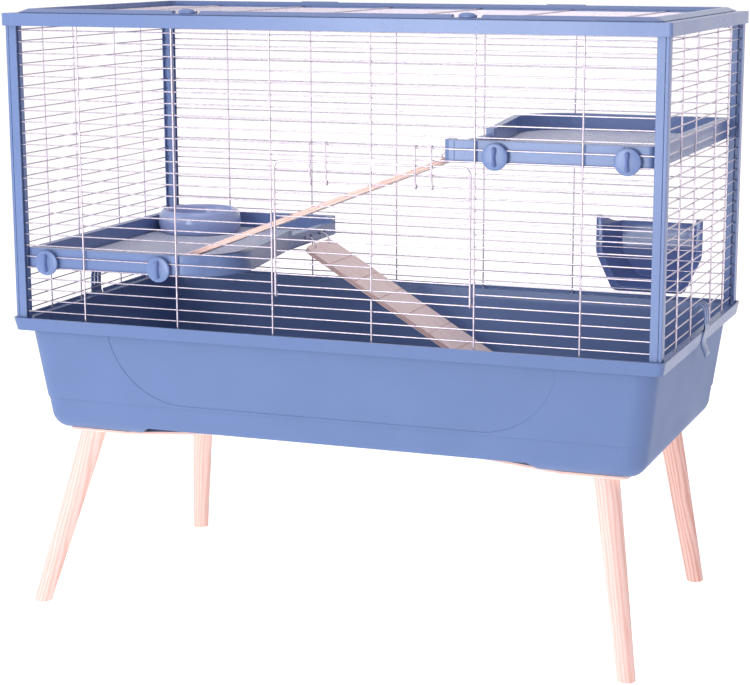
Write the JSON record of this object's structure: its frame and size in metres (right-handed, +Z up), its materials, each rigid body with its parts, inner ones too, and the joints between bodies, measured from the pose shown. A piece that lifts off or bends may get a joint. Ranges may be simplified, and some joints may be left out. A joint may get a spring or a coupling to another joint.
{
  "type": "rabbit hutch",
  "caption": "Small-animal hutch on splayed wooden legs: a deep moulded tub under a wire cage with shelves, ramps, a bowl, a hay rack, a drop-down door and a hinged lid",
  "frame": {"origin": "On the floor under the middle of the tub: X = 0 and Y = 0 halfway along and across the tub's rim, Z = 0 at the feet.", "axes": "+X along the front to the right as seen from the front, +Y from the front to the back, +Z up."},
  "size_m": [1.0066, 0.5797, 0.9109],
  "materials": {
    "frame_plastic": "moulded, fine grain",
    "bowl_plastic": "moulded, glossy",
    "grid_plastic": "moulded lattice",
    "wire": "bright zinc-plated welded wire",
    "hardware": "zinc-plated",
    "leg_wood": "turned beech, clear matt",
    "plywood": "poplar plywood, sanded"
  },
  "bodies": {
    "hutch": {"tub": "frame_plastic", "top_frame": "frame_plastic", "front_mesh": "wire", "back_mesh": "wire", "left_mesh": "wire", "right_mesh": "wire", "lid_hinge_pins": "hardware", "clip_pins": "hardware", "leg_studs": "hardware", "tee_nuts": "hardware", "board_screws": "hardware", "leg_board_left": "plywood", "leg_board_right": "plywood", "shelf_lower": "frame_plastic", "shelf_upper": "frame_plastic", "shelf_grid_lower": "grid_plastic", "shelf_grid_upper": "grid_plastic", "hay_rack": "bowl_plastic", "hay_rack_hanger": "wire", "leg_front_left": "leg_wood", "leg_front_right": "leg_wood", "leg_back_left": "leg_wood", "leg_back_right": "leg_wood", "post_front_left": "frame_plastic", "post_front_right": "frame_plastic", "post_back_left": "frame_plastic", "post_back_right": "frame_plastic"},
    "lid": {"lid_frame": "frame_plastic", "lid_mesh": "wire"},
    "lid_latch_left": {"lid_latch_left": "frame_plastic"},
    "lid_latch_right": {"lid_latch_right": "frame_plastic"},
    "front_door": {"front_door": "wire"},
    "door_latch_left": {"door_latch_left": "wire"},
    "door_latch_right": {"door_latch_right": "wire"},
    "side_clip_left": {"side_clip_left": "frame_plastic"},
    "side_clip_right": {"side_clip_right": "frame_plastic"},
    "ramp_lower": {"ramp_lower": "plywood", "ramp_hooks_lower": "wire"},
    "ramp_upper": {"ramp_upper": "plywood", "ramp_hooks_upper": "wire"},
    "bowl": {"bowl": "bowl_plastic"},
    "knob_lower_front_a": {"knob_lower_front_a": "frame_plastic"},
    "knob_lower_front_b": {"knob_lower_front_b": "frame_plastic"},
    "knob_lower_back_a": {"knob_lower_back_a": "frame_plastic"},
    "knob_lower_back_b": {"knob_lower_back_b": "frame_plastic"},
    "knob_upper_front_a": {"knob_upper_front_a": "frame_plastic"},
    "knob_upper_front_b": {"knob_upper_front_b": "frame_plastic"},
    "knob_upper_back_a": {"knob_upper_back_a": "frame_plastic"},
    "knob_upper_back_b": {"knob_upper_back_b": "frame_plastic"}
  },
  "joints": [
    {"name": "lid_hinge", "type": "hinge", "parent": "hutch", "child": "lid", "pos_m": [0, 0.2525, 0.9055], "axis": [-1, 0, 0], "range_deg": [0, 100]},
    {"name": "lid_latch_left_slide", "type": "slide", "parent": "lid", "child": "lid_latch_left", "axis": [0, -1, 0], "range_m": [0, 0.006]},
    {"name": "lid_latch_right_slide", "type": "slide", "parent": "lid", "child": "lid_latch_right", "axis": [0, -1, 0], "range_m": [0, 0.006]},
    {"name": "front_door_hinge", "type": "hinge", "parent": "hutch", "child": "front_door", "pos_m": [0.0755, -0.251, 0.51315], "axis": [1, 0, 0], "range_deg": [0, 135]},
    {"name": "door_latch_left_hinge", "type": "hinge", "parent": "front_door", "child": "door_latch_left", "pos_m": [-0.0025, -0.2514, 0.67495], "axis": [1, 0, 0], "range_deg": [0, 140]},
    {"name": "door_latch_right_hinge", "type": "hinge", "parent": "front_door", "child": "door_latch_right", "pos_m": [0.1535, -0.2514, 0.67495], "axis": [1, 0, 0], "range_deg": [0, 140]},
    {"name": "side_clip_left_hinge", "type": "hinge", "parent": "hutch", "child": "side_clip_left", "pos_m": [-0.4895, 0, 0.4415], "axis": [0, -1, 0], "range_deg": [0, 30]},
    {"name": "side_clip_right_hinge", "type": "hinge", "parent": "hutch", "child": "side_clip_right", "pos_m": [0.4895, 0, 0.4415], "axis": [0, 1, 0], "range_deg": [0, 30]},
    {"name": "ramp_lower_hinge", "type": "hinge", "parent": "hutch", "child": "ramp_lower", "pos_m": [-0.18125, 0.1425, 0.53897], "axis": [0, -1, 0], "range_deg": [0, 25]},
    {"name": "ramp_upper_hinge", "type": "hinge", "parent": "hutch", "child": "ramp_upper", "pos_m": [0.18125, -0.1655, 0.72103], "axis": [0, 1, 0], "range_deg": [0, 20]},
    {"name": "bowl_lift", "type": "slide", "parent": "hutch", "child": "bowl", "axis": [0, 0, 1], "range_m": [0, 0.12]},
    {"name": "knob_lower_front_a_turn", "type": "hinge", "parent": "hutch", "child": "knob_lower_front_a", "pos_m": [-0.439, -0.251, 0.53797], "axis": [0, -1, 0], "range_deg": [0, 90]},
    {"name": "knob_lower_front_b_turn", "type": "hinge", "parent": "hutch", "child": "knob_lower_front_b", "pos_m": [-0.255, -0.251, 0.53797], "axis": [0, -1, 0], "range_deg": [0, 90]},
    {"name": "knob_lower_back_a_turn", "type": "hinge", "parent": "hutch", "child": "knob_lower_back_a", "pos_m": [-0.439, 0.251, 0.53797], "axis": [0, 1, 0], "range_deg": [0, 90]},
    {"name": "knob_lower_back_b_turn", "type": "hinge", "parent": "hutch", "child": "knob_lower_back_b", "pos_m": [-0.255, 0.251, 0.53797], "axis": [0, 1, 0], "range_deg": [0, 90]},
    {"name": "knob_upper_front_a_turn", "type": "hinge", "parent": "hutch", "child": "knob_upper_front_a", "pos_m": [0.439, -0.251, 0.72003], "axis": [0, -1, 0], "range_deg": [0, 90]},
    {"name": "knob_upper_front_b_turn", "type": "hinge", "parent": "hutch", "child": "knob_upper_front_b", "pos_m": [0.255, -0.251, 0.72003], "axis": [0, -1, 0], "range_deg": [0, 90]},
    {"name": "knob_upper_back_a_turn", "type": "hinge", "parent": "hutch", "child": "knob_upper_back_a", "pos_m": [0.439, 0.251, 0.72003], "axis": [0, 1, 0], "range_deg": [0, 90]},
    {"name": "knob_upper_back_b_turn", "type": "hinge", "parent": "hutch", "child": "knob_upper_back_b", "pos_m": [0.255, 0.251, 0.72003], "axis": [0, 1, 0], "range_deg": [0, 90]}
  ]
}
